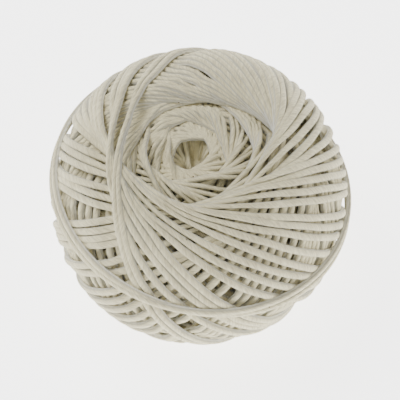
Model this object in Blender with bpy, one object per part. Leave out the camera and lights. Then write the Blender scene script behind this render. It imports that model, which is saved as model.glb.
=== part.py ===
"""A ball of soft cotton string, wound criss-cross round a centre hole and standing on one pole.

The string is wound as the real ball is. Every turn is a great circle that passes the two poles at
the same distance, and each turn is set a few degrees further round the ball's axis than the one
before. So each half of a turn leans one way on the near side and the other way on the far side, and
the newest turn parts the ball into two halves, which mirror each other through the centre.
Three trips round the axis show: the newest one outermost, and two older ones, each smaller and
nearer to the poles, in the dished pole. A girdle of two turns lies across the waist, on top of all.
"""

from math import cos, pi, radians, sin, sqrt

import bmesh
import bpy
from mathutils import Vector

# Driving sizes, in metres
BALL_RADIUS = 0.033
STRAND = 0.0016
FOOT_HEIGHT = 0.0275  # the ball's centre above the flat spot that it rests on

# The cross-section of a ridge, as shares of the strand
SHOULDER = 0.3  # half the width of its crown
FOOT = 0.62  # half its width at the bottom of a groove
TOUCHING_GROOVE = 0.42  # depth of the groove between two turns that touch
OPEN_GROOVE = 0.85  # depth where the turns stand apart and the crossing layer shows
FADE = 1.3  # the grooves have their whole depth where this times the sine of the way along a turn is 1
LIFT = 0.15  # how far the newest turn stands above the others, and half as far as the girdle does

# How near to the poles a turn of the outermost trip passes, and where the newest turn's normal points
CLOSENESS = 29.0
NEWEST_AZIMUTH = -22.2

# The outermost trip's ridges start and end this far along a turn, and have this many rows of faces
RIDGES_START = 16.0
RIDGE_ROWS = 10

# The dish in each pole, from its rim inwards: plain rings by angle from the pole and distance from
# the ball's centre, and the older trips by their closeness and the angles along a turn that show
RIM = {"from_pole": 29.6, "radius": 0.0326, "sides": 60}
OLDER_TRIPS = [
    {"crown": 0.0298, "closeness": 20.0, "turns": 30, "shown": (20.0, 14.5, 9.0)},
    {"crown": 0.0274, "closeness": 6.0, "turns": 16, "shown": (17.0, 11.0, 4.5)},
]
WELL = {"from_pole": 7.0, "radius": 0.0180, "sides": 16}

# Bundles of neighbouring turns in the outermost trip, in degrees round the axis from the newest
BUNDLES = [
    {"first": 0.0, "turns": 2, "step": 4.0},
    {"first": 11.7, "turns": 1, "step": 0.0},
    {"first": 21.1, "turns": 3, "step": 4.9},
    {"first": 44.5, "turns": 3, "step": 7.6},
    {"first": 66.4, "turns": 3, "step": 7.6},
    {"first": 87.5, "turns": 2, "step": 4.6},
    {"first": 101.3, "turns": 2, "step": 5.4},
    {"first": 114.8, "turns": 5, "step": 3.4},
    {"first": 135.8, "turns": 3, "step": 4.8},
    {"first": 154.5, "turns": 3, "step": 4.7},
    {"first": 172.5, "turns": 4, "step": 4.8},
    {"first": 196.0, "turns": 3, "step": 5.2},
    {"first": 215.0, "turns": 4, "step": 4.6},
    {"first": 237.0, "turns": 3, "step": 6.2},
    {"first": 258.5, "turns": 4, "step": 4.9},
    {"first": 281.0, "turns": 3, "step": 5.4},
    {"first": 300.5, "turns": 4, "step": 4.7},
    {"first": 323.0, "turns": 3, "step": 5.6},
    {"first": 343.0, "turns": 3, "step": 4.9},
]

# The last turns, round the waist: where the normal of each turn's plane points, and the plane's
# distance from the ball's centre
GIRDLE = [
    {"azimuth": 31.7, "tilt": 15.4, "offset": 0.0023},
    {"azimuth": 20.0, "tilt": 18.2, "offset": 0.0024},
]

# Half of a girdle turn's cross-section, crown first, as shares of the strand. It reaches down into
# the grooves that it crosses
GIRDLE_SECTION = [
    {"beside": SHOULDER, "below": 0.0},
    {"beside": 0.5, "below": 0.4},
    {"beside": 0.5, "below": 0.6 + OPEN_GROOVE},
]
TURN_STEPS = 48  # points along the newest turn and along the girdle's


def clear_scene():
    for found in list(bpy.data.objects):
        bpy.data.objects.remove(found, do_unlink=True)


def cotton():
    """Undyed cotton: warm white and quite matt."""
    material = bpy.data.materials.new("ecru_cotton")
    material.use_nodes = True
    shader = material.node_tree.nodes["Principled BSDF"]
    shader.inputs["Base Color"].default_value = (0.78, 0.73, 0.62, 1)
    shader.inputs["Roughness"].default_value = 0.85
    shader.inputs["Metallic"].default_value = 0
    return material


def direction(azimuth, latitude):
    return Vector((cos(latitude) * cos(azimuth), cos(latitude) * sin(azimuth), sin(latitude)))


def place_on_turn(azimuth, closeness, along):
    """The direction of a place on a turn, counted from where the turn is nearest to the top pole."""
    nearest = direction(azimuth + pi, pi / 2 - closeness)
    across = direction(azimuth - pi / 2, 0)
    return cos(along) * nearest + sin(along) * across


def outer_turns():
    """Azimuths of the outermost trip's turns, from the newest on."""
    return [
        radians(NEWEST_AZIMUTH + bundle["first"] + turn * bundle["step"])
        for bundle in BUNDLES
        for turn in range(bundle["turns"])
    ]


def outer_lines():
    """(azimuth, depth) of each line along the outermost ridges: two on a crown, one or two in a groove."""
    turns = outer_turns()
    strand_angle = STRAND / (BALL_RADIUS * cos(radians(CLOSENESS)))
    foot = FOOT * strand_angle
    shoulder = SHOULDER * strand_angle
    lines = []
    for azimuth, following in zip(turns, turns[1:] + [turns[0] + 2 * pi]):
        lines += [(azimuth - shoulder, 0), (azimuth + shoulder, 0)]
        if following - azimuth > 3 * foot:
            lines += [(azimuth + foot, OPEN_GROOVE * STRAND), (following - foot, OPEN_GROOVE * STRAND)]
        else:
            lines.append(((azimuth + following) / 2, TOUCHING_GROOVE * STRAND))
    return lines


def older_lines(turns):
    """(azimuth, depth) of an older trip's lines: a crown and a groove for each turn, evenly spaced."""
    return [(pi * line / turns, line % 2 * TOUCHING_GROOVE * STRAND) for line in range(2 * turns)]


def turn_row(bm, lines, crown, closeness, along, groove_share=1):
    """One point on each line, the same way along every turn, with the grooves at a share of their depth."""
    return [
        bm.verts.new((crown - groove_share * depth) * place_on_turn(azimuth, closeness, along))
        for azimuth, depth in lines
    ]


def plain_ring(bm, ring, pole):
    """A round row of points about the axis, at the top pole (1) or the bottom one (-1)."""
    latitude = pole * (pi / 2 - radians(ring["from_pole"]))
    azimuths = [2 * pi * side / ring["sides"] for side in range(ring["sides"])]
    return [bm.verts.new(ring["radius"] * direction(azimuth, latitude)) for azimuth in azimuths]


def circle(bm, normal, radius, height):
    """Points on a circle about a normal, in a plane at a height along it."""
    turn = normal.to_track_quat("Z", "X")
    points = []
    for step in range(TURN_STEPS):
        around = 2 * pi * step / TURN_STEPS
        place = Vector((radius * cos(around), radius * sin(around), height))
        points.append(bm.verts.new(turn @ place))
    return points


def loop_edges(bm, loop):
    return [bm.edges.get(pair) or bm.edges.new(pair) for pair in zip(loop, loop[1:] + loop[:1])]


def skin(bm, rows):
    """Faces between rows of as many points."""
    for upper, lower in zip(rows, rows[1:]):
        for this in range(len(upper)):
            beside = (this + 1) % len(upper)
            bm.faces.new((lower[this], lower[beside], upper[beside], upper[this]))


def ridge_block(bm):
    """The outermost trip's ridges, in rows from dish to dish. Near a dish they crowd, and grooves fade."""
    lines = outer_lines()
    start = radians(RIDGES_START)
    rows = []
    for row in range(RIDGE_ROWS + 1):
        along = start + (pi - 2 * start) * row / RIDGE_ROWS
        groove_share = min(1, FADE * sin(along))
        rows.append(turn_row(bm, lines, BALL_RADIUS, radians(CLOSENESS), along, groove_share))
    return rows


def dish_blocks(bm, pole):
    """One pole's dish as blocks of rows, from the rim to the centre hole."""
    blocks = [[plain_ring(bm, RIM, pole)]]
    for trip in OLDER_TRIPS:
        lines = older_lines(trip["turns"])
        closeness = radians(trip["closeness"])
        shown = [radians(along if pole > 0 else 180 - along) for along in trip["shown"]]
        blocks.append([turn_row(bm, lines, trip["crown"], closeness, along) for along in shown])
    blocks.append([plain_ring(bm, WELL, pole)])
    return blocks


def wound_surface():
    """The whole ball with every turn leaning one way: a dish, the ridges and the other dish."""
    bm = bmesh.new()
    top = [block[::-1] for block in dish_blocks(bm, 1)[::-1]]
    blocks = top + [ridge_block(bm)] + dish_blocks(bm, -1)
    for block in blocks:
        skin(bm, block)
    for block, following in zip(blocks, blocks[1:]):
        bmesh.ops.bridge_loops(bm, edges=loop_edges(bm, block[-1]) + loop_edges(bm, following[0]))
    bm.faces.new(blocks[0][0])
    bm.faces.new(blocks[-1][-1])
    bmesh.ops.recalc_face_normals(bm, faces=bm.faces)
    return bm


def mesh_of(bm, name):
    mesh = bpy.data.meshes.new(name)
    bm.to_mesh(mesh)
    bm.free()
    return mesh


def cut_away(bm, point, normal):
    """Removes what lies beyond a plane, and gives the edges round the cut."""
    whole = bm.verts[:] + bm.edges[:] + bm.faces[:]
    cut = bmesh.ops.bisect_plane(bm, geom=whole, plane_co=point, plane_no=normal, clear_outer=True)
    return [item for item in cut["geom_cut"] if isinstance(item, bmesh.types.BMEdge)]


def mirrored_through_centre(bm):
    mirrored = bm.copy()
    for vertex in mirrored.verts:
        vertex.co = -vertex.co
    bmesh.ops.reverse_faces(mirrored, faces=mirrored.faces)
    return mirrored


def two_halves(newest):
    """The near half, the far half and, between them, the newest turn. newest is its plane's normal."""
    near = wound_surface()
    cut_away(near, FOOT * STRAND * newest, -newest)
    far = mirrored_through_centre(near)
    whole = bmesh.new()
    whole.from_mesh(mesh_of(near, "near_half"))
    whole.from_mesh(mesh_of(far, "far_half"))
    open_edges = [edge for edge in whole.edges if edge.is_boundary]
    crown = BALL_RADIUS + LIFT * STRAND
    crowns = [circle(whole, newest, crown, side * SHOULDER * STRAND) for side in (1, -1)]
    skin(whole, crowns)
    for side, loop in zip((1, -1), crowns):
        rim = [edge for edge in open_edges if side * edge.verts[0].co.dot(newest) > 0]
        bmesh.ops.bridge_loops(whole, edges=rim + loop_edges(whole, loop))
    bmesh.ops.triangulate(whole, faces=whole.faces)
    bmesh.ops.recalc_face_normals(whole, faces=whole.faces)
    return whole


def girdle_turn(turn):
    """One turn round the waist, as a closed ring."""
    bm = bmesh.new()
    normal = direction(radians(turn["azimuth"]), radians(90 - turn["tilt"]))
    crown = sqrt((BALL_RADIUS + 2 * LIFT * STRAND) ** 2 - turn["offset"] ** 2)
    upper_half = [(corner["beside"], corner["below"]) for corner in GIRDLE_SECTION]
    lower_half = [(-beside, below) for beside, below in reversed(upper_half)]
    loops = [
        circle(bm, normal, crown - below * STRAND, turn["offset"] + beside * STRAND)
        for beside, below in upper_half + lower_half
    ]
    skin(bm, loops + loops[:1])
    bmesh.ops.recalc_face_normals(bm, faces=bm.faces)
    return bm


def joined(body_mesh, ring_meshes):
    """One closed mesh from the body and the rings that lie on it."""
    body = bpy.data.objects.new("body", body_mesh)
    bpy.context.scene.collection.objects.link(body)
    rings = []
    for mesh in ring_meshes:
        ring = bpy.data.objects.new("ring", mesh)
        bpy.context.scene.collection.objects.link(ring)
        union = body.modifiers.new("union", "BOOLEAN")
        union.operation = "UNION"
        union.object = ring
        rings.append(ring)
    graph = bpy.context.evaluated_depsgraph_get()
    result = bpy.data.meshes.new_from_object(body.evaluated_get(graph))
    for helper in [body, *rings]:
        bpy.data.objects.remove(helper, do_unlink=True)
    return result


def middle_of(values):
    return (min(values) + max(values)) / 2


def stand_on_origin(bm):
    """Moves the ball so that the bottom centre of its box is at the origin."""
    middle_x = middle_of([vertex.co.x for vertex in bm.verts])
    middle_y = middle_of([vertex.co.y for vertex in bm.verts])
    bmesh.ops.translate(bm, verts=bm.verts, vec=(-middle_x, -middle_y, FOOT_HEIGHT))


def ball_of_string():
    newest = direction(radians(NEWEST_AZIMUTH), radians(CLOSENESS))
    body = mesh_of(two_halves(newest), "wound_body")
    rings = [mesh_of(girdle_turn(turn), "girdle_turn") for turn in GIRDLE]
    bm = bmesh.new()
    bm.from_mesh(joined(body, rings))
    foot_edges = cut_away(bm, Vector((0, 0, -FOOT_HEIGHT)), Vector((0, 0, -1)))
    bmesh.ops.triangle_fill(bm, edges=foot_edges, normal=(0, 0, -1), use_beauty=True)
    bmesh.ops.triangulate(bm, faces=bm.faces)
    stand_on_origin(bm)
    return mesh_of(bm, "ball_of_string")


def main():
    clear_scene()
    mesh = ball_of_string()
    mesh.materials.clear()
    mesh.materials.append(cotton())
    ball = bpy.data.objects.new("twine_ball", mesh)
    bpy.context.scene.collection.objects.link(ball)
    mesh.shade_smooth()


main()
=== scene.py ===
"""A ball of soft undyed cotton string, wound criss-cross, on a plain pale floor.

Each turn of the string is a closed strand, laid by rules and not by a simulation. The turns are
laid from the outside in: the newest turn lies on the ball's outline, and each older one is tucked
under those that cross it, as straight as a taut string lies. Then, from the inside out, they are
let down on the older ones round the poles.

A turn passes the two poles at about the same distance, so it has a leg that leans left and a leg
that leans right, and each turn is set a few degrees further round the ball's axis than the one
before it. A trip is once round the axis. The outermost trip follows the picture, bundle by bundle.
"""

from math import ceil, cos, pi, radians, sin

import bmesh
import bpy
import numpy as np
from mathutils import Matrix, Vector

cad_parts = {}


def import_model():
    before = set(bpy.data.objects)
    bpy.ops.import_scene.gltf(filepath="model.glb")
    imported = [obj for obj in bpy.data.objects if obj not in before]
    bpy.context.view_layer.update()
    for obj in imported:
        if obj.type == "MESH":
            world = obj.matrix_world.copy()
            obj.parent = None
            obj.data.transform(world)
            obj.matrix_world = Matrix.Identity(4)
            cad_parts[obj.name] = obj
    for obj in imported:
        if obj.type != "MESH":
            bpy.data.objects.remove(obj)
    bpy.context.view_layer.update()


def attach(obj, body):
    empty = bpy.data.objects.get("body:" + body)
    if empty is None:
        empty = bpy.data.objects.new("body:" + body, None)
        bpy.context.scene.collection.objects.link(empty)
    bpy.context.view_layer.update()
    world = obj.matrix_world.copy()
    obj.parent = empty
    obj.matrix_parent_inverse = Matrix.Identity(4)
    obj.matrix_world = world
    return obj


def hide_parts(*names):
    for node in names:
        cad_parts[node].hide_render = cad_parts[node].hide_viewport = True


MM = 0.001

# The ball's centre in the part's frame, its radius, how far below the centre its flat spot is, and
# how high above the centre a taut string lies where it crosses the dish round the top pole
CENTRE = np.array((-0.07, -0.23, 27.5)) * MM
BALL_RADIUS = 33.0 * MM
FOOT_GAP = 0.03 * MM
FOOT_DEPTH = CENTRE[2] - FOOT_GAP
TAUT_LEVEL = 28.9 * MM
LEAST_RISE = 0.1  # a direction that rises less than this is taken to rise this much

# A strand's cross-section, pressed flat against the ball: 2 would be an ellipse, more is squarer
HALF_WIDTH = 0.83 * MM
HALF_HEIGHT = 0.66 * MM
SQUARENESS = 2.5

# Where the turns crowd round a pole, a strand is squeezed narrower and taller. Squeezing starts at
# the first of these angles from the pole, in degrees, and is complete at the second
SQUEEZE_ANGLES = (48, 33)
SQUEEZED_WIDTH = 0.62 * HALF_WIDTH
SQUEEZED_HEIGHT = 1.05 * HALF_HEIGHT

# How far two strands sink into each other where they cross, and how much further where they run
# nearly the same way. The higher the power, the nearer the same way that is
SINK = 0.12 * MM
NESTLE = 0.9 * MM
RESTING_NESTLE = 0.6 * MM  # the same for a turn that is let down on the older ones
NESTLE_POWER = 6

# Legs of the outermost trip, in bundles of neighbours, newest first: where the first leg's plane
# faces, the step to the next one, how near to the poles they pass and how much that changes from
# leg to leg, all in degrees. The first left leg and the first right leg make a turn, and so on
LEFT_LEGS = [
    {"first": -23.0, "legs": 2, "step": 4.0, "closeness": 28.0, "change": 0.0},
    {"first": -3.7, "legs": 1, "step": 0.0, "closeness": 36.7, "change": 0.0},
    {"first": 5.0, "legs": 3, "step": 3.2, "closeness": 36.3, "change": -1.9},
    {"first": 27.0, "legs": 3, "step": 7.4, "closeness": 34.7, "change": -0.2},
    {"first": 45.0, "legs": 3, "step": 7.9, "closeness": 29.8, "change": 0.3},
    {"first": 65.7, "legs": 2, "step": 4.8, "closeness": 29.5, "change": 0.3},
    {"first": 79.2, "legs": 2, "step": 4.1, "closeness": 29.2, "change": -1.7},
    {"first": 88.7, "legs": 2, "step": 5.8, "closeness": 26.7, "change": 1.2},
    {"first": 99.6, "legs": 1, "step": 0.0, "closeness": 27.5, "change": 0.0},
    {"first": 108.5, "legs": 1, "step": 0.0, "closeness": 31.5, "change": 0.0},
    {"first": 118.4, "legs": 3, "step": 2.4, "closeness": 34.3, "change": -3.8},
    {"first": 129.5, "legs": 2, "step": 5.5, "closeness": 27.8, "change": 1.5},
    {"first": 147.2, "legs": 2, "step": 2.2, "closeness": 37.3, "change": -3.8},
    {"first": 158.0, "legs": 3, "step": 7.2, "closeness": 35.4, "change": 2.0},
    {"first": 179.2, "legs": 2, "step": 5.0, "closeness": 38.5, "change": -1.5},
    {"first": 189.2, "legs": 3, "step": 4.4, "closeness": 35.5, "change": -1.0},
    {"first": 203.0, "legs": 4, "step": 4.5, "closeness": 32.0, "change": -0.9},
    {"first": 221.0, "legs": 3, "step": 6.0, "closeness": 27.0, "change": -0.5},
    {"first": 242.0, "legs": 4, "step": 4.6, "closeness": 25.0, "change": 0.7},
    {"first": 264.5, "legs": 3, "step": 5.4, "closeness": 29.0, "change": 1.0},
    {"first": 284.0, "legs": 4, "step": 4.4, "closeness": 33.0, "change": 0.5},
    {"first": 307.0, "legs": 3, "step": 5.6, "closeness": 34.0, "change": -1.5},
    {"first": 326.0, "legs": 2, "step": 4.6, "closeness": 30.0, "change": -0.5},
]
RIGHT_LEGS = [
    {"first": -23.0, "legs": 2, "step": 4.2, "closeness": 28.0, "change": 0.5},
    {"first": -8.0, "legs": 3, "step": 4.4, "closeness": 31.0, "change": 0.6},
    {"first": 12.0, "legs": 3, "step": 5.0, "closeness": 33.0, "change": -0.5},
    {"first": 32.0, "legs": 3, "step": 4.6, "closeness": 28.0, "change": -0.8},
    {"first": 52.0, "legs": 3, "step": 3.0, "closeness": 24.0, "change": 1.5},
    {"first": 64.0, "legs": 3, "step": 1.6, "closeness": 29.8, "change": 3.2},
    {"first": 90.5, "legs": 4, "step": 2.5, "closeness": 29.0, "change": 2.3},
    {"first": 109.0, "legs": 2, "step": 1.6, "closeness": 36.5, "change": 7.0},
    {"first": 124.0, "legs": 3, "step": 6.7, "closeness": 40.0, "change": 0.0},
    {"first": 145.0, "legs": 3, "step": 7.6, "closeness": 41.0, "change": 1.5},
    {"first": 173.0, "legs": 3, "step": 5.2, "closeness": 41.5, "change": 2.0},
    {"first": 189.5, "legs": 2, "step": 9.5, "closeness": 49.5, "change": 0.5},
    {"first": 207.0, "legs": 4, "step": 4.6, "closeness": 45.0, "change": -1.5},
    {"first": 229.0, "legs": 3, "step": 5.0, "closeness": 38.0, "change": -1.0},
    {"first": 247.0, "legs": 4, "step": 4.4, "closeness": 34.0, "change": -0.5},
    {"first": 268.5, "legs": 4, "step": 4.6, "closeness": 31.0, "change": 0.6},
    {"first": 290.0, "legs": 4, "step": 4.4, "closeness": 30.0, "change": -0.8},
    {"first": 311.0, "legs": 5, "step": 4.4, "closeness": 28.0, "change": -0.4},
]

# A turn goes over from one leg's plane to the other's within this angle of where it is nearest to
# a pole
LEG_CHANGE = radians(25)

# A turn isn't laid quite straight. It strays aside in so many waves along the turn, each as far as
# this divided by its number of waves, times a number drawn between these two
STRAY = 0.3 * MM
STRAY_WAVES = (4, 9, 15)
STRAY_DRAWN = (1, 3)

# The older trips, newest first, which show in the dishes round the poles and in the gaps of the
# outermost trip: how near to the poles their turns pass and how far that wanders, in degrees, and
# how far out they can lie
OLDER_TRIPS = [
    {"name": "string_second", "turns": 27, "closeness": 31.0, "wander": 3.0, "crown": 32.3 * MM},
    {"name": "string_middle", "turns": 40, "closeness": 20.0, "wander": 3.5, "crown": 31.0 * MM},
    {"name": "string_inner", "turns": 29, "closeness": 11.0, "wander": 1.5, "crown": 29.4 * MM},
]
# The oldest turns, which show at the bottom of the centre hole, and how far they stand above the
# core
HEART = {"turns": 18, "closeness": 3.0, "wander": 2.0, "height": 3.0 * MM}
WANDER_WAVES = ((0.6, 0.47), (0.4, 1.13))  # each wave's share of the wander, and radians a turn
UNEVENNESS = 0.3  # a turn is at most this share of a step away from its even place in a trip
DEEPEST = 6.0 * MM  # how far in from its trip's crown a turn can be tucked
DRAWS_SEED = 11

# The last turns, round the waist: which way the normal of each turn's plane points and how far it
# tilts from the ball's axis, in degrees, how far the plane is from the ball's centre, and how far
# these turns stand above the ball's outline
GIRDLE = [
    {"azimuth": 31.7, "tilt": 15.4, "offset": 2.3 * MM},
    {"azimuth": 20.0, "tilt": 18.2, "offset": 2.4 * MM},
]
GIRDLE_LIFT = 0.8 * MM

# How finely the turns are laid: cells along an edge of the room's cube, places along a turn,
# places in the room for each of these, places across a strand, and the way from place to place
ROOM_SIDE = 320
LAID_STEPS = 720
FINE_STEPS = 3
CROSS_STEPS = 13
LAID_STEP = 2 * pi * BALL_RADIUS / LAID_STEPS

# A turn comes up again slowly from where it is tucked in: it rises by this times its way squared.
# That is tested for places nearer than so many steps, and smoothed over so many on either side
EASE = 0.05 / MM
EASED_STEPS = 36
EASED_REACH = 6

# Round the poles, each turn is then let down on the older ones, at most this far, and comes down
# from what it lies on no steeper than this slope. That starts at the first of these angles from
# the pole, in degrees, and is complete at the second. The steps and the reach are as above
LET_DOWN = {"string_outer": 2.2 * MM, "string_second": 1.2 * MM, "string_middle": 1.5 * MM}
LET_DOWN_ANGLES = (62, 40)
TAUT_SLOPE = 0.12
TAUT_STEPS = 50
TAUT_REACH = 12

# How each trip is meshed: in how many pieces, and the places along and round each turn
PIECES = {
    "string_girdle": {"pieces": 1, "places": 720, "sides": 16},
    "string_outer": {"pieces": 4, "places": 380, "sides": 12},
    "string_second": {"pieces": 1, "places": 240, "sides": 7},
    "string_middle": {"pieces": 1, "places": 240, "sides": 7},
    "string_inner": {"pieces": 1, "places": 200, "sides": 8},
    "string_heart": {"pieces": 1, "places": 160, "sides": 8},
}
BAKE_STRIPS = 2  # a turn's surface is laid out in so many strips
BAKE_MARGIN = 0.05  # and a strip keeps this share of its width clear at either side
TURN_OFFSET = 37.0  # millimetres between the string's marks on one turn and on the next

# The surface of the core, which lies under the oldest turns, by degrees from either pole
CORE_DETAIL = 6
CORE = [
    {"from_pole": 0.0, "radius": 15.0 * MM},
    {"from_pole": 7.0, "radius": 15.5 * MM},
    {"from_pole": 12.0, "radius": 20.0 * MM},
    {"from_pole": 30.0, "radius": 22.5 * MM},
    {"from_pole": 90.0, "radius": 27.3 * MM},
]

# The string's twist: millimetres for once round, its plies, and the power that rounds their tops,
# where 1 leaves plain waves. Its fibres: how much finer their noise is round the strand than along
# it, the noise's scale, and the values of it that are taken as 0 and as 1
TWIST_PITCH = 6.5
PLIES = 3
PLY_FULLNESS = 0.5
FIBRE_STRETCH = 26.0
FIBRE_SCALE = 0.5
FIBRE_RANGE = (0.33, 0.67)

# Slow changes of tone, as for the fibres, and husk flecks: the scale of their cells, the radius of
# a fleck in its cell, and the share of the cells that have none
TONE_SCALE = 160.0
TONE_RANGE = (0.25, 0.75)
FLECK_SCALE = 260.0
FLECK_RADIUS = 0.065
FLECKLESS = 0.80

# How far a strand faces out where its flank, which is painted lighter as painted light, goes over
# into its top, and where the darker edge between them, a painted shade in the crease where strands
# lie against each other,
# starts and ends: 1 is straight out, 0 aside and -1 towards the ball's centre. And how dark that
# painted shade is
TOP_RANGE = (-0.4, 0.9)
EDGE_SHADE_START = (-0.1, 0.3)
EDGE_SHADE_END = (0.3, 0.75)
EDGE_SHADE_SHARE = 0.6

# The string's colours, among them the flanks' painted light and the crease's painted shade, and
# how much the fibres, the tone and the plies lighten it. The plies' share leaves the grooves
# between plies darker, a painted shade
DULL_COTTON = (0.50, 0.44, 0.27, 1)
BRIGHT_COTTON = (0.92, 0.85, 0.56, 1)
FLANK_PAINTED_LIGHT = (0.84, 0.83, 0.75, 1)
EDGE_PAINTED_SHADE = (0.40, 0.37, 0.27, 1)
HUSK = (0.17, 0.12, 0.06, 1)
SHADE_SHARES = (0.45, 0.3, 0.2)
BUMP_SHARES = (0.7, 0.5)  # how much the plies and the fibres raise it

# Where the ball is in the picture, in pixels, how the camera is turned, in degrees, and how far
# away it is, in metres
PICTURE_SIDE = 400
PICTURE_CENTRE = (199, 196)
PICTURE_RADIUS = 149
CAMERA_ELEVATION = 64.6
CAMERA_ROLL = 10.5
CAMERA_DISTANCE = 0.5

# The floor, the even light from all round, and the two soft lights, in metres and watts
FLOOR_SIDE = 3.0
FLOOR_WHITE = (0.9, 0.9, 0.9, 1)
ROOM_WHITE = (1.0, 1.0, 1.0, 1)
ROOM_LIGHT = 0.35
LIGHTS = [
    {"name": "window", "place": (-0.20, 0.20, 0.57), "size": 0.35, "watts": 3.6},
    {"name": "fill", "place": (0.40, -0.20, 0.40), "size": 0.5, "watts": 0.7},
]


def unit(vectors):
    return vectors / np.linalg.norm(vectors, axis=-1, keepdims=True)


def ahead_of(points):
    """Which way a closed line runs at each of its points."""
    return unit(np.roll(points, -1, axis=0) - np.roll(points, 1, axis=0))


def direction(azimuth, latitude):
    return np.array((cos(latitude) * cos(azimuth), cos(latitude) * sin(azimuth), sin(latitude)))


# ---------------------------------------------------------------- winding


def nearness(path, angles):
    """A smooth step, from 0 at the first of these angles from a pole to 1 at the second."""
    start, complete = np.cos(np.radians(angles))
    share = np.clip((np.abs(path[:, 2]) - start) / (complete - start), 0, 1)
    return share * share * (3 - 2 * share)


def section(path):
    """Half the width and half the height of a strand at each place."""
    share = nearness(path, SQUEEZE_ANGLES)
    return (
        HALF_WIDTH + share * (SQUEEZED_WIDTH - HALF_WIDTH),
        HALF_HEIGHT + share * (SQUEEZED_HEIGHT - HALF_HEIGHT),
    )


def footprint(path, ahead):
    """Directions of places across a strand, and how high its section stands at each."""
    across = np.linspace(-1, 1, CROSS_STEPS)
    width, height = section(path)
    aside = width[:, None] * across / BALL_RADIUS
    spots = unit(path[:, None] + aside[..., None] * np.cross(path, ahead)[:, None])
    return spots, height[:, None] * (1 - np.abs(across) ** SQUARENESS) ** (1 / SQUARENESS)


def refined(values):
    """A closed turn's values at closer places."""
    places = np.arange(FINE_STEPS * len(values)) / FINE_STEPS
    closed = np.concatenate((values, values[:1]))
    known = np.arange(len(closed))
    return np.stack([np.interp(places, known, column) for column in closed.T], -1)


class Room:
    """The room that the turns so far leave: in each direction how far out they reach and which way
    they run, kept on the six sides of a cube. With side -1 the next turn lies under them, and with
    side 1 on them."""

    def __init__(self, limit, side):
        self.limit = np.full(6 * ROOM_SIDE**2, limit)
        self.heading = np.zeros((6 * ROOM_SIDE**2, 3))
        self.side = side

    def cells(self, directions):
        """The side of the cube that each direction meets, and the place on it, as one number."""
        axis = np.abs(directions).argmax(axis=-1)[..., None]
        main = np.take_along_axis(directions, axis, -1)
        cell = 2 * axis + (main < 0)
        for turned in (1, 2):
            slope = np.take_along_axis(directions, (axis + turned) % 3, -1) / np.abs(main)
            # By the angle and not the slope, so that the cells are nearly of one size
            place = (np.arctan(slope) * 4 / pi + 1) / 2 * ROOM_SIDE
            cell = cell * ROOM_SIDE + np.minimum(place.astype(int), ROOM_SIDE - 1)
        return cell[..., 0]

    def limits(self, path, nestle):
        """How far out a turn's centre line can lie, by what is there at each place across it."""
        side, ahead = self.side, ahead_of(path)
        spots, rises = footprint(path, ahead)
        cells = self.cells(spots)
        alike = np.abs((self.heading[cells] * ahead[:, None]).sum(axis=-1)) ** NESTLE_POWER
        return self.limit[cells] + side * rises - side * SINK - side * nestle * alike

    def add(self, path, radius):
        """Takes up a turn, whose centre line is so far out."""
        fine_path, fine_ahead = unit(refined(path)), unit(refined(ahead_of(path)))
        spots, rises = footprint(fine_path, fine_ahead)
        cells = self.cells(spots)
        further = np.maximum if self.side > 0 else np.minimum
        further.at(self.limit, cells, refined(radius[:, None]) + self.side * rises)
        self.heading[cells] = fine_ahead[:, None]


def smoothed(values, reach):
    """A running mean round a closed turn, over so many places on either side."""
    weights = np.hanning(2 * reach + 3)[1:-1]
    wrapped = np.concatenate((values[-reach:], values, values[:reach]))
    return np.convolve(wrapped, weights / weights.sum(), "valid")


def held_up(values, falls):
    """Values round a closed turn, none lower than any other less the fall for the steps between
    the two."""
    held = values.copy()
    for steps, fall in enumerate(falls, start=1):
        for shift in (steps, -steps):
            np.maximum(held, np.roll(values, shift) - fall, out=held)
    return held


def core_radius(directions):
    from_pole = np.degrees(np.arccos(np.minimum(np.abs(directions[..., 2]), 1)))
    angles = [row["from_pole"] for row in CORE]
    return np.interp(from_pole, angles, [row["radius"] for row in CORE])


def outline(path, crown):
    """How far out a strand's centre line may lie: under its crown, above the flat spot, and no
    higher over the top dish than a taut string lies."""
    width, height = section(path)
    aside, rise = np.hypot(path[:, 0], path[:, 1]), np.abs(path[:, 2])
    # How far up or down the strand's section stands out from its centre line
    power = SQUARENESS / (SQUARENESS - 1)
    reach = ((height * rise) ** power + (width * aside) ** power) ** (1 / power)
    level = np.where(path[:, 2] > 0, TAUT_LEVEL, FOOT_DEPTH)
    return np.minimum(crown - height, (level - reach) / np.maximum(rise, LEAST_RISE))


def lay(room, path, crown):
    """Tucks a turn in under those laid before it and gives its strand's centre line."""
    free = outline(path, crown)
    depth = np.clip(free - room.limits(path, NESTLE).min(axis=1), 0, DEEPEST)
    falls = [EASE * (steps * LAID_STEP) ** 2 for steps in range(1, EASED_STEPS)]
    radius = free - smoothed(held_up(depth, falls), EASED_REACH)
    room.add(path, radius)
    return radius[:, None] * path


def let_down(room, line, most):
    """Lets a turn down on the older ones, as a taut string lies on them, and gives its strand's
    centre line."""
    radius = np.linalg.norm(line, axis=1)
    path = line / radius[:, None]
    falls = [TAUT_SLOPE * steps * LAID_STEP for steps in range(1, TAUT_STEPS)]
    taut = held_up(room.limits(path, RESTING_NESTLE).max(axis=1), falls)
    drop = np.clip(radius - taut, 0, most) * nearness(path, LET_DOWN_ANGLES)
    radius = radius - smoothed(drop, TAUT_REACH)
    room.add(path, radius)
    return radius[:, None] * path


def leg(azimuth, closeness, along):
    """The directions of a great circle, from where it is nearest to the top pole."""
    nearest = direction(azimuth + pi, pi / 2 - closeness)
    across = direction(azimuth - pi / 2, 0)
    return np.cos(along)[:, None] * nearest + np.sin(along)[:, None] * across


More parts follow.
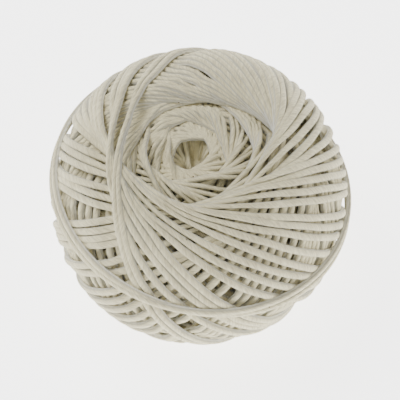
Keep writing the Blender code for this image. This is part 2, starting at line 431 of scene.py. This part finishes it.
def turn_path(left, right, draws):
    """A turn's directions: its left leg over the first half, its right leg over the second, and a
    smooth step from one to the other near each pole."""
    along = 2 * pi * np.arange(LAID_STEPS) / LAID_STEPS
    blend = np.clip(np.sin(along) / sin(LEG_CHANGE), -1, 1)
    share = (0.5 + 0.75 * blend - 0.25 * blend**3)[:, None]
    path = unit(share * leg(*left, along) + (1 - share) * leg(*right, along))
    aside = np.zeros(LAID_STEPS)
    for waves in STRAY_WAVES:
        size = STRAY / waves * draws.uniform(*STRAY_DRAWN)
        aside += size * np.sin(waves * along + draws.uniform(0, 2 * pi))
    return unit(path + (aside / BALL_RADIUS)[:, None] * np.cross(path, ahead_of(path)))


def girdle_path(turn):
    """Directions of a turn round the waist."""
    normal = direction(radians(turn["azimuth"]), radians(90 - turn["tilt"]))
    first = unit(np.cross(normal, (0, 0, 1)))
    second = np.cross(normal, first)
    around = (2 * pi * np.arange(LAID_STEPS) / LAID_STEPS)[:, None]
    lean = turn["offset"] / BALL_RADIUS
    return unit(np.cos(around) * first + np.sin(around) * second + lean * normal)


def legs_of(bundles):
    """(azimuth, closeness) of each leg of the outermost trip, newest first, in radians."""
    return [
        (radians(row["first"] + i * row["step"]), radians(row["closeness"] + i * row["change"]))
        for row in bundles
        for i in range(row["legs"])
    ]


def older_paths(trip, draws):
    """Directions of each turn of an older trip, whose two legs pass the poles alike."""
    legs = []
    for i in range(trip["turns"]):
        azimuth = 360 * (i + draws.uniform(-UNEVENNESS, UNEVENNESS)) / trip["turns"]
        wander = trip["wander"] * sum(share * sin(pace * i) for share, pace in WANDER_WAVES)
        legs.append((radians(azimuth), radians(trip["closeness"] + wander)))
    return [turn_path(both, both, draws) for both in legs]


def wound_strands():
    """Centre lines by piece name, newest first, laid from the outside in and then let down."""
    draws = np.random.default_rng(DRAWS_SEED)
    room = Room(2 * BALL_RADIUS, side=-1)
    crown = BALL_RADIUS + GIRDLE_LIFT
    strands = {"string_girdle": [lay(room, girdle_path(turn), crown) for turn in GIRDLE]}
    strands["string_outer"] = [
        lay(room, turn_path(left, right, draws), BALL_RADIUS)
        for left, right in zip(legs_of(LEFT_LEGS), legs_of(RIGHT_LEGS))
    ]
    for trip in OLDER_TRIPS:
        paths = older_paths(trip, draws)
        strands[trip["name"]] = [lay(room, path, trip["crown"]) for path in paths]
    strands["string_heart"] = [
        lay(room, path, core_radius(path) + HEART["height"]) for path in older_paths(HEART, draws)
    ]
    room = Room(0.0, side=1)
    for name, turns in reversed(strands.items()):
        most = LET_DOWN.get(name, 0.0)
        turns[:] = [let_down(room, turn, most) for turn in reversed(turns)][::-1]
    return strands


# ---------------------------------------------------------------- meshes


def squared(waves):
    """A cosine or sine of the way round an ellipse, made that of a strand's section."""
    return np.sign(waves) * np.abs(waves) ** (2 / SQUARENESS)


def strand_rings(centres, sides):
    """Rings of points round a closed centre line, flattened towards the ball's centre. Each starts
    at its innermost point, so that the seam of the maps is out of sight."""
    ahead = ahead_of(centres)
    beside = unit(np.cross(ahead, unit(centres)))
    outward = np.cross(beside, ahead)
    around = 2 * pi * np.arange(sides) / sides - pi / 2
    width, height = section(unit(centres))
    aside = (width[:, None] * squared(np.cos(around)))[..., None] * beside[:, None]
    rise = (height[:, None] * squared(np.sin(around)))[..., None] * outward[:, None]
    return centres[:, None] + aside + rise


def strand_faces(places, sides):
    """Quads of a closed tube, as corners, and each corner's place round and along the tube."""
    along, around = np.meshgrid(np.arange(places), np.arange(sides), indexing="ij")
    corners, rounds, lengths = [], [], []
    for ahead, beside in ((0, 0), (0, 1), (1, 1), (1, 0)):
        corners.append(((along + ahead) % places) * sides + (around + beside) % sides)
        rounds.append((around + beside) / sides)
        lengths.append((along + ahead) / places)
    return [np.stack(part, -1).reshape(-1, len(part)) for part in (corners, rounds, lengths)]


def linked(name, data):
    made = bpy.data.objects.new(name, data)
    bpy.context.scene.collection.objects.link(made)
    return made


def mesh_from(name, points, corners):
    mesh = bpy.data.meshes.new(name)
    mesh.vertices.add(len(points))
    mesh.vertices.foreach_set("co", points.astype(np.float32).ravel())
    mesh.loops.add(corners.size)
    mesh.loops.foreach_set("vertex_index", corners.astype(np.int32).ravel())
    mesh.polygons.add(len(corners))
    starts = np.arange(0, corners.size, corners.shape[1], dtype=np.int32)
    mesh.polygons.foreach_set("loop_start", starts)
    mesh.update(calc_edges=True)
    mesh.shade_smooth()
    return mesh


def string_piece(name, strands, places, sides, material):
    """One piece from several turns. Its map "Strand" gives the place round a strand and the
    millimetres along it, and its map "OFBake" lays each turn's surface out in strips."""
    points, corners, strand_map, bake_map = [], [], [], []
    corner, rounds, lengths = strand_faces(places, sides)
    keep = np.arange(places) * len(strands[0]) // places
    strips = BAKE_STRIPS * len(strands)
    strip = np.minimum((lengths.min(axis=1) * BAKE_STRIPS).astype(int), BAKE_STRIPS - 1)[:, None]
    for turn, strand in enumerate(strands):
        rings = strand_rings(strand, sides)[keep]
        points.append(rings.reshape(-1, 3) + CENTRE)
        corners.append(corner + turn * places * sides)
        length = np.linalg.norm(np.roll(strand, -1, axis=0) - strand, axis=1).sum() / MM
        strand_map.append(np.stack((rounds, lengths * length + turn * TURN_OFFSET), -1))
        across = turn * BAKE_STRIPS + strip + BAKE_MARGIN + (1 - 2 * BAKE_MARGIN) * rounds
        bake_map.append(np.stack((lengths * BAKE_STRIPS - strip, across / strips), -1))
    mesh = mesh_from(name, np.concatenate(points), np.concatenate(corners))
    for layer, values in (("Strand", strand_map), ("OFBake", bake_map)):
        uv = mesh.uv_layers.new(name=layer)
        uv.data.foreach_set("uv", np.concatenate(values).astype(np.float32).ravel())
    mesh.materials.append(material)
    return linked(name, mesh)


def core_piece(material):
    """What lies under the turns that are laid one by one: a dented ball, deep at its poles."""
    shape = bmesh.new()
    shape.loops.layers.uv.new("OFBake")
    bmesh.ops.create_icosphere(shape, subdivisions=CORE_DETAIL, radius=1, calc_uvs=True)
    for vertex in shape.verts:
        radius = core_radius(np.array(vertex.co))
        vertex.co = vertex.co * radius + Vector(CENTRE)
    mesh = bpy.data.meshes.new("string_core")
    shape.to_mesh(mesh)
    shape.free()
    mesh.shade_smooth()
    # Its "Strand" map is left empty, so the whole core counts as facing inward and takes the
    # flanks' painted light colour
    mesh.uv_layers.new(name="Strand")
    mesh.materials.append(material)
    return linked("string_core", mesh)


# ---------------------------------------------------------------- materials


class Nodes:
    """A material's node tree, with short calls to add and join nodes."""

    def __init__(self, name):
        self.material = bpy.data.materials.new(name)
        self.material.use_nodes = True
        self.tree = self.material.node_tree
        self.shader = self.tree.nodes["Principled BSDF"]

    def join(self, value, socket):
        """Links a node's output to a socket, or sets the socket to a plain value."""
        if isinstance(value, bpy.types.NodeSocket):
            self.tree.links.new(value, socket)
        else:
            socket.default_value = value

    def add(self, kind, inputs=(), **settings):
        node = self.tree.nodes.new(kind)
        for setting, value in settings.items():
            setattr(node, setting, value)
        for socket, value in dict(inputs).items():
            self.join(value, node.inputs[socket])
        return node

    def math(self, operation, *values):
        return self.add("ShaderNodeMath", enumerate(values), operation=operation).outputs[0]

    def total(self, values, shares):
        """The sum of these values, each times its share."""
        total, *others = [self.math("MULTIPLY", *pair) for pair in zip(values, shares)]
        for other in others:
            total = self.math("ADD", total, other)
        return total

    def noise(self, place, scale, **settings):
        inputs = {"Vector": place, "Scale": scale, "Detail": 3.0, "Roughness": 0.6}
        return self.add("ShaderNodeTexNoise", inputs, **settings).outputs[0]

    def ramp(self, value, low, high):
        """A smooth step, from 0 at the low value to 1 at the high one."""
        inputs = {"Value": value, "From Min": low, "From Max": high, "To Min": 0.0, "To Max": 1.0}
        return self.add("ShaderNodeMapRange", inputs, interpolation_type="SMOOTHSTEP").outputs[0]

    def mix(self, share, first, second):
        """A mix of two colours, whose sockets this node has under these numbers."""
        inputs = {0: share, 6: first, 7: second}
        return self.add("ShaderNodeMix", inputs, data_type="RGBA").outputs[2]

    def set(self, **inputs):
        """Sets the shader's sockets, named with _ for each space."""
        for name, value in inputs.items():
            self.join(value, self.shader.inputs[name.replace("_", " ")])


def cotton_string():
    """Soft-twisted ecru cotton: plies, with painted shade in their grooves, and fine fibres that
    wind round the strand, a darker painted shade along the crease where strands lie against each
    other, flanks below it painted lighter as painted light that lifts the shade in the gaps, slow
    changes of tone, and a husk fleck here and there."""
    nodes = Nodes("ecru_cotton_string")
    strand_map = nodes.add("ShaderNodeUVMap", uv_map="Strand").outputs[0]
    round_strand, along, _ = nodes.add("ShaderNodeSeparateXYZ", {0: strand_map}).outputs
    spot = nodes.add("ShaderNodeTexCoord").outputs["Object"]

    twisted = nodes.math("ADD", round_strand, nodes.math("DIVIDE", along, TWIST_PITCH))
    plies = nodes.math("SINE", nodes.math("MULTIPLY", twisted, pi * PLIES))
    plies = nodes.math("POWER", nodes.math("ABSOLUTE", plies), PLY_FULLNESS)
    stretched = {0: nodes.math("MULTIPLY", twisted, FIBRE_STRETCH), 1: along}
    stretched = nodes.add("ShaderNodeCombineXYZ", stretched).outputs[0]
    fibres = nodes.noise(stretched, FIBRE_SCALE, noise_dimensions="2D")
    fibres = nodes.ramp(fibres, *FIBRE_RANGE)
    tone = nodes.ramp(nodes.noise(spot, TONE_SCALE), *TONE_RANGE)

    facing = nodes.math("MULTIPLY", nodes.math("SUBTRACT", round_strand, 0.5), 2 * pi)
    facing = nodes.math("COSINE", facing)
    top = nodes.ramp(facing, *TOP_RANGE)
    # Painted shade: a darker band along each strand's upper flank, in the crease where strands lie
    # against each other
    edge = nodes.math("SUBTRACT", nodes.ramp(facing, *EDGE_SHADE_START), nodes.ramp(facing, *EDGE_SHADE_END))

    cells = nodes.add("ShaderNodeTexVoronoi", {"Vector": spot, "Scale": FLECK_SCALE})
    drawn = nodes.add("ShaderNodeSeparateXYZ", {0: cells.outputs["Color"]}).outputs[0]
    inside = nodes.math("LESS_THAN", cells.outputs["Distance"], FLECK_RADIUS)
    flecks = nodes.math("MULTIPLY", inside, nodes.math("GREATER_THAN", drawn, FLECKLESS))

    # Painted shade: through the plies' share, the grooves between plies come out darker
    shade = nodes.total((fibres, tone, plies), SHADE_SHARES)
    colour = nodes.mix(shade, DULL_COTTON, BRIGHT_COTTON)
    # Painted light: the flanks and undersides take a lighter colour than the tops, which lifts the
    # shade in the gaps between strands
    colour = nodes.mix(top, FLANK_PAINTED_LIGHT, colour)
    colour = nodes.mix(nodes.math("MULTIPLY", edge, EDGE_SHADE_SHARE), colour, EDGE_PAINTED_SHADE)
    colour = nodes.mix(flecks, colour, HUSK)
    height = nodes.total((plies, fibres), BUMP_SHARES)
    bump = nodes.add("ShaderNodeBump", {"Strength": 0.8, "Distance": 0.14 * MM, "Height": height})
    nodes.set(Base_Color=colour, Roughness=0.88, Normal=bump.outputs[0])
    nodes.set(Sheen_Weight=0.2, Sheen_Roughness=0.5, Specular_IOR_Level=0.2)
    return nodes.material


def pale_floor():
    """White card that glows by itself, so that it comes out nearly as pale as in the picture."""
    nodes = Nodes("pale_floor")
    nodes.set(Base_Color=FLOOR_WHITE, Roughness=0.9, Specular_IOR_Level=0.1)
    nodes.set(Emission_Color=FLOOR_WHITE, Emission_Strength=4.0)
    return nodes.material


# ---------------------------------------------------------------- stage


def floor():
    half = FLOOR_SIDE / 2
    corners = [(-half, -half, 0), (half, -half, 0), (half, half, 0), (-half, half, 0)]
    mesh = bpy.data.meshes.new("floor")
    mesh.from_pydata(corners, [], [(0, 1, 2, 3)])
    mesh.materials.append(pale_floor())
    return linked("floor", mesh)


def camera():
    """Looks at the ball from the picture's angle, and shows it as large as the picture does."""
    lift, roll = radians(CAMERA_ELEVATION), radians(CAMERA_ROLL)
    view = Vector((0, cos(lift), -sin(lift)))
    level, rise = Vector((1, 0, 0)), Vector((0, sin(lift), cos(lift)))
    right = level * cos(roll) - rise * sin(roll)
    up = level * sin(roll) + rise * cos(roll)
    pixel = BALL_RADIUS / PICTURE_RADIUS
    aside = (PICTURE_SIDE / 2 - PICTURE_CENTRE[0]) * pixel
    above = (PICTURE_CENTRE[1] - PICTURE_SIDE / 2) * pixel
    data = bpy.data.cameras.new("camera")
    data.type = "ORTHO"
    data.ortho_scale = PICTURE_SIDE * pixel
    data.clip_end = 10.0
    made = linked("camera", data)
    turned = Matrix((right, up, -view)).transposed().to_4x4()
    turned.translation = Vector(CENTRE) + right * aside + up * above - view * CAMERA_DISTANCE
    made.matrix_world = turned
    bpy.context.scene.camera = made


def soft_light(name, place, size, watts):
    data = bpy.data.lights.new(name, "AREA")
    data.size = size
    data.energy = watts
    made = linked(name, data)
    made.location = place
    towards = Vector(CENTRE) - Vector(place)
    made.rotation_euler = towards.to_track_quat("-Z", "Y").to_euler()


def surroundings():
    world = bpy.data.worlds.new("pale_room")
    world.use_nodes = True
    background = world.node_tree.nodes["Background"]
    background.inputs["Color"].default_value = ROOM_WHITE
    background.inputs["Strength"].default_value = ROOM_LIGHT
    bpy.context.scene.world = world
    for light in LIGHTS:
        soft_light(**light)


def string_pieces():
    """The core and every trip's turns, all of the same string."""
    cotton = cotton_string()
    strands = wound_strands()
    pieces = [core_piece(cotton)]
    for name, detail in PIECES.items():
        turns, parts = strands[name], detail["pieces"]
        share = ceil(len(turns) / parts)
        for part in range(parts):
            some = turns[part * share : (part + 1) * share]
            label = name if parts == 1 else f"{name}_{part + 1}"
            pieces.append(string_piece(label, some, detail["places"], detail["sides"], cotton))
    return pieces


def main():
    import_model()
    camera()
    for piece in string_pieces():
        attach(piece, "root")
        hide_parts("twine_ball")
    floor()
    surroundings()
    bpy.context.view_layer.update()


main()
